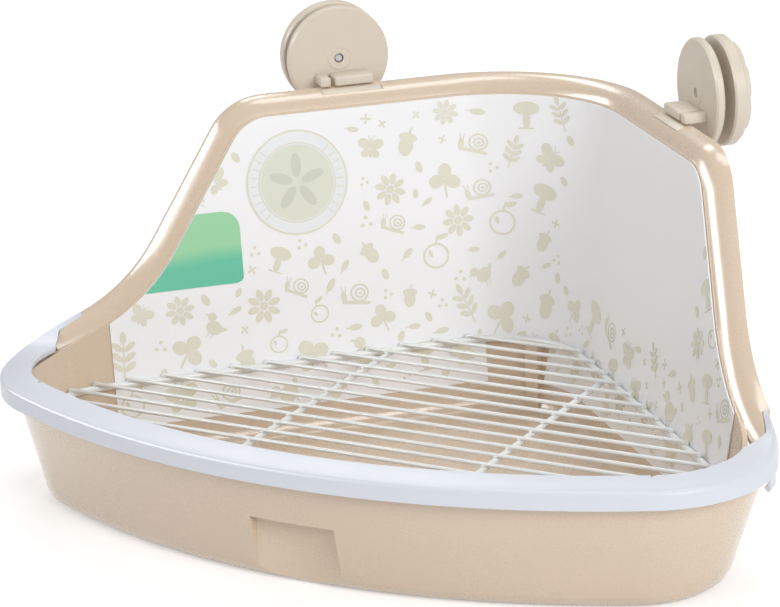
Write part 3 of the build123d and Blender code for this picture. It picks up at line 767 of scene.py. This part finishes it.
motifs = {  # strokes in mm: disc x y wide tall turn hole, line x1 y1 x2 y2 width
    "clover": [("disc", 0, 4.2, 3.2, 3.6), ("disc", -4.0, -0.6, 3.6, 3.1, 20),
               ("disc", 4.0, -0.6, 3.6, 3.1, -20), ("line", 0, 0, 1.2, -7.5, 1.1)],
    "daisy": [*[("disc", *onRing(5.0, turn), 2.7, 1.5, turn) for turn in range(0, 360, 45)],
              ("disc", 0, 0, 1.9, 1.9)],
    "toadstool": [("disc", 0, 3.0, 6.4, 3.6), ("disc", 0, -3.6, 1.9, 4.2),
                  ("line", -3.6, -7.6, 3.6, -7.6, 0.8)],
    "sprig": [("line", 0, -9.0, 0, 7.0, 0.8), ("disc", 0, 8.6, 1.3, 2.6),
              *[("disc", s * 2.6, y, 2.8, 1.2, s * 38) for s in (-1, 1) for y in (5.0, 1.0, -3.0)]],
    "apple": [("disc", 0, 0, 5.6, 5.2, 0, 0.84), ("line", 0, 4.6, 1.0, 8.0, 0.9),
              ("disc", 3.2, 7.6, 2.4, 1.1, 18), ("disc", -2.2, 1.0, 0.8, 1.6, 20)],
    "butterfly": [("disc", -3.6, 2.6, 3.7, 2.7, -28), ("disc", 3.6, 2.6, 3.7, 2.7, 28),
                  ("disc", -2.7, -2.5, 2.7, 2.0, 30), ("disc", 2.7, -2.5, 2.7, 2.0, -30),
                  ("line", 0, -4.2, 0, 4.2, 1.2), ("line", 0, 4.2, -1.8, 7.0, 0.5),
                  ("line", 0, 4.2, 1.8, 7.0, 0.5)],
    "acorn": [("disc", 0, -1.6, 3.5, 4.7), ("disc", 0, 2.6, 4.5, 2.2), ("line", 0, 4.4, 0.7, 7.0, 1.0)],
    "snail": [("disc", 0.8, 1.2, 4.6, 4.3, 0, 0.80), ("disc", 1.1, 1.1, 2.6, 2.4, 0, 0.66),
              ("disc", 1.2, 1.0, 0.8, 0.8), ("line", -6.6, -3.4, 5.4, -3.4, 1.7),
              ("disc", -6.8, -1.0, 1.4, 2.6, 12), ("line", -7.3, 1.0, -8.4, 3.8, 0.5),
              ("line", -6.3, 1.2, -6.2, 4.0, 0.5)],
    "chick": [("disc", 0, -1.2, 4.9, 3.9, 12), ("disc", -4.4, 3.4, 2.6, 2.5),
              ("line", -6.9, 3.2, -8.3, 2.8, 1.0), ("disc", 4.8, 0.6, 2.6, 1.2, 40),
              ("line", -1.0, -4.6, -1.4, -7.6, 0.6), ("line", 1.4, -4.6, 1.2, -7.6, 0.6)],
    "seed": [("disc", 0, 0, 1.5, 2.6)],
    "cross": [("line", -1.9, 0, 1.9, 0, 0.9), ("line", 0, -1.9, 0, 1.9, 0.9)],
    "leaf": [("disc", 0, 0, 3.1, 1.4, 25), ("line", -2.6, -1.2, -4.0, -2.0, 0.5)],
    "dots": [("disc", -1.7, -1.0, 0.8, 0.8), ("disc", 1.7, -1.0, 0.8, 0.8), ("disc", 0, 1.9, 0.8, 0.8)],
}
layoutSetup = {
    "seed": 11, "reach": 196.0, "lowest": 21.0, "highest": 138.0, "gap": 1.0, "tilt": 40,
    "margin": 0.8, "skips": (1, 2, 4), "layer": 0.006,
    "passes": [  # motifs, tries, radius, smallest and largest share of it
        (("clover", "daisy", "toadstool", "sprig", "apple", "butterfly", "acorn", "snail", "chick"),
         3000, 8.3, 0.74, 1.12),
        (("seed", "cross", "leaf", "dots"), 3500, 3.0, 0.8, 1.15)],
    "clear": [  # places left free: u, z, half width, half height
        (-111.4, 113.5, 24.0, 24.0), (-162.0, 88.0, 24.0, 17.0), (80.0, 104.0, 66.0, 42.0)]}


def isClear(u, z, margin):
    return all(abs(u - cu) > wide + margin or abs(z - cz) > tall + margin
               for cu, cz, wide, tall in layoutSetup["clear"])


def drawMotif(bm, kind, u, z, size, turn):
    at = turnedAt(Matrix(), u, z, radians(turn)) @ Matrix.Diagonal((size, size, 1, 1))
    layer = 0
    for stroke in motifs[kind]:
        verts, centre = inkStroke(bm, at, printSetup["discSides"], *stroke)
        if onCard(centre.x, centre.y):
            layer += 1
            for v in verts:
                flat = clipped((v.co.x, v.co.y), (centre.x, centre.y))
                v.co = Vector((*flat, layer * layoutSetup["layer"]))
        else:
            bmesh.ops.delete(bm, geom=verts, context="VERTS")


# Cuts flat ink into narrow stripes where the card is bent, and lays it on the card
def wrapOnCard(bm, lift):
    s = printSetup
    count = int(bendReach / s["stripe"]) + 1
    for n in range(-count, count + 1):
        cutAcross(bm, (n * s["stripe"], 0, 0), (1, 0, 0), s["merge"])
    lost = []
    for v in bm.verts:
        found = onCard(v.co.x, v.co.y)
        if found:
            v.co = found[0] + found[1] * (lift + v.co.z) * mm
        else:
            lost.append(v)
    bmesh.ops.delete(bm, geom=lost, context="VERTS")
    for face in bm.faces:
        face.normal_update()
        inward = cornerAxis - face.calc_center_median()
        if face.normal.dot(Vector((inward.x, inward.y - s["roomAhead"] * mm, 0))) < 0:
            face.normal_flip()
    print("ink faces", len(bm.faces), "lost", len(lost))


def makePrint(s):
    pick = Random(s["seed"])
    bm = bmesh.new()
    placed = []
    for kinds, tries, radius, smallest, largest in s["passes"]:
        order = 0
        for _ in range(tries):
            u, z = pick.uniform(-s["reach"], s["reach"]), pick.uniform(s["lowest"], s["highest"])
            size, turn = pick.uniform(smallest, largest), pick.uniform(-s["tilt"], s["tilt"])
            room = radius * size
            free = all((u - u2) ** 2 + (z - z2) ** 2 > (room + room2 + s["gap"]) ** 2
                       for u2, z2, room2 in placed)
            if free and isClear(u, z, room * s["margin"]) and onCard(u, z):
                placed.append((u, z, room))
                order += pick.choice(s["skips"])
                drawMotif(bm, kinds[order % len(kinds)], u, z, size, turn)
    print("motifs", len(placed))
    wrapOnCard(bm, printSetup["lift"])
    newObject(bm, "cardPrint", materials["motifInk"], "tray")


makePrint(layoutSetup)


# Round badge: a pale ring with a leaf star on a sage disc
badgeSetup = {
    "centre": (-111.4, 113.5), "radius": 23.0, "line": 0.7, "disc": 16.6, "ringGap": 1, "sides": 64,
    "ticks": 9, "tickStep": 11, "tickRadius": 19.8, "tickReach": 1.4, "tickWidth": 0.5,
    "leaves": 5, "firstLeaf": 90, "leafRadius": 7.6, "leafSize": (5.4, 2.3), "lift": 0.16, "step": 0.05}


def badgePieces(s):  # piece: material, layer, strokes
    outer, inner, disc = s["radius"], s["disc"] + s["ringGap"], s["disc"]
    hollow = 1 - s["line"] / outer
    near, far = s["tickRadius"] - s["tickReach"], s["tickRadius"] + s["tickReach"]
    ticks = [side + (n - (s["ticks"] - 1) / 2) * s["tickStep"] for side in (0, 180)
             for n in range(s["ticks"])]
    leaves = [s["firstLeaf"] + n * 360 / s["leaves"] for n in range(s["leaves"])]
    return {
        "badgeGround": ("badgeWhite", 0, [("disc", 0, 0, outer, outer)]),
        "badgeLines": ("motifInk", 1, [("disc", 0, 0, r, r, 0, hollow) for r in (outer, inner)]),
        "badgeTicks": ("badgeSage", 1, [
            ("line", *onRing(near, turn), *onRing(far, turn), s["tickWidth"]) for turn in ticks]),
        "badgeDisc": ("badgeSage", 1, [("disc", 0, 0, disc, disc)]),
        "badgeLeaves": ("badgeMoss", 2, [
            ("disc", *onRing(s["leafRadius"], turn), *s["leafSize"], turn) for turn in leaves])}


def makeBadge(s):
    at = Matrix.Translation((*s["centre"], 0))
    for name, (material, layer, strokes) in badgePieces(s).items():
        bm = bmesh.new()
        for stroke in strokes:
            inkStroke(bm, at, s["sides"], *stroke)
        wrapOnCard(bm, s["lift"] + s["step"] * layer)
        newObject(bm, name, materials[material], "tray")


makeBadge(badgeSetup)


# Green label at the left end of the card, cut off by the card's own edge
labelSetup = {"inner": -139.0, "outer": -190.0, "bottom": 72.8, "top": 104.6, "cornerTop": 8.0,
              "cornerBottom": 3.0, "rows": 44, "columns": 24, "lift": 0.16,
              "sureWidth": 2, "edgeHalvings": 14, "edgeGap": 0.3}


def labelInner(z):
    s = labelSetup
    aboveTop = z - s["top"] + s["cornerTop"]
    belowBottom = s["bottom"] + s["cornerBottom"] - z
    for r, past in ((s["cornerTop"], aboveTop), (s["cornerBottom"], belowBottom)):
        if past > 0:
            return s["inner"] - r + sqrt(max(0, r * r - past ** 2))
    return s["inner"]


def makeLabel(s):
    bm = bmesh.new()
    bmesh.ops.create_grid(bm, x_segments=s["columns"], y_segments=s["rows"], size=0.5,
                          matrix=Matrix.Translation((0.5, 0.5, 0)))
    for v in bm.verts:
        across, z = v.co.x, s["bottom"] + (s["top"] - s["bottom"]) * v.co.y
        inner = labelInner(z)
        edge = lastOnCard(inner - s["sureWidth"], s["outer"], lambda u: (u, z), s["edgeHalvings"])
        outer = edge + s["edgeGap"]
        v.co = Vector((inner + (outer - inner) * across, z, 0))
    wrapOnCard(bm, s["lift"])
    newObject(bm, "cardLabel", materials["labelGreen"], "tray")


makeLabel(labelSetup)
print("print, badge and label")

makeCamera(cameraSetup)
makeStudio(studioSetup)
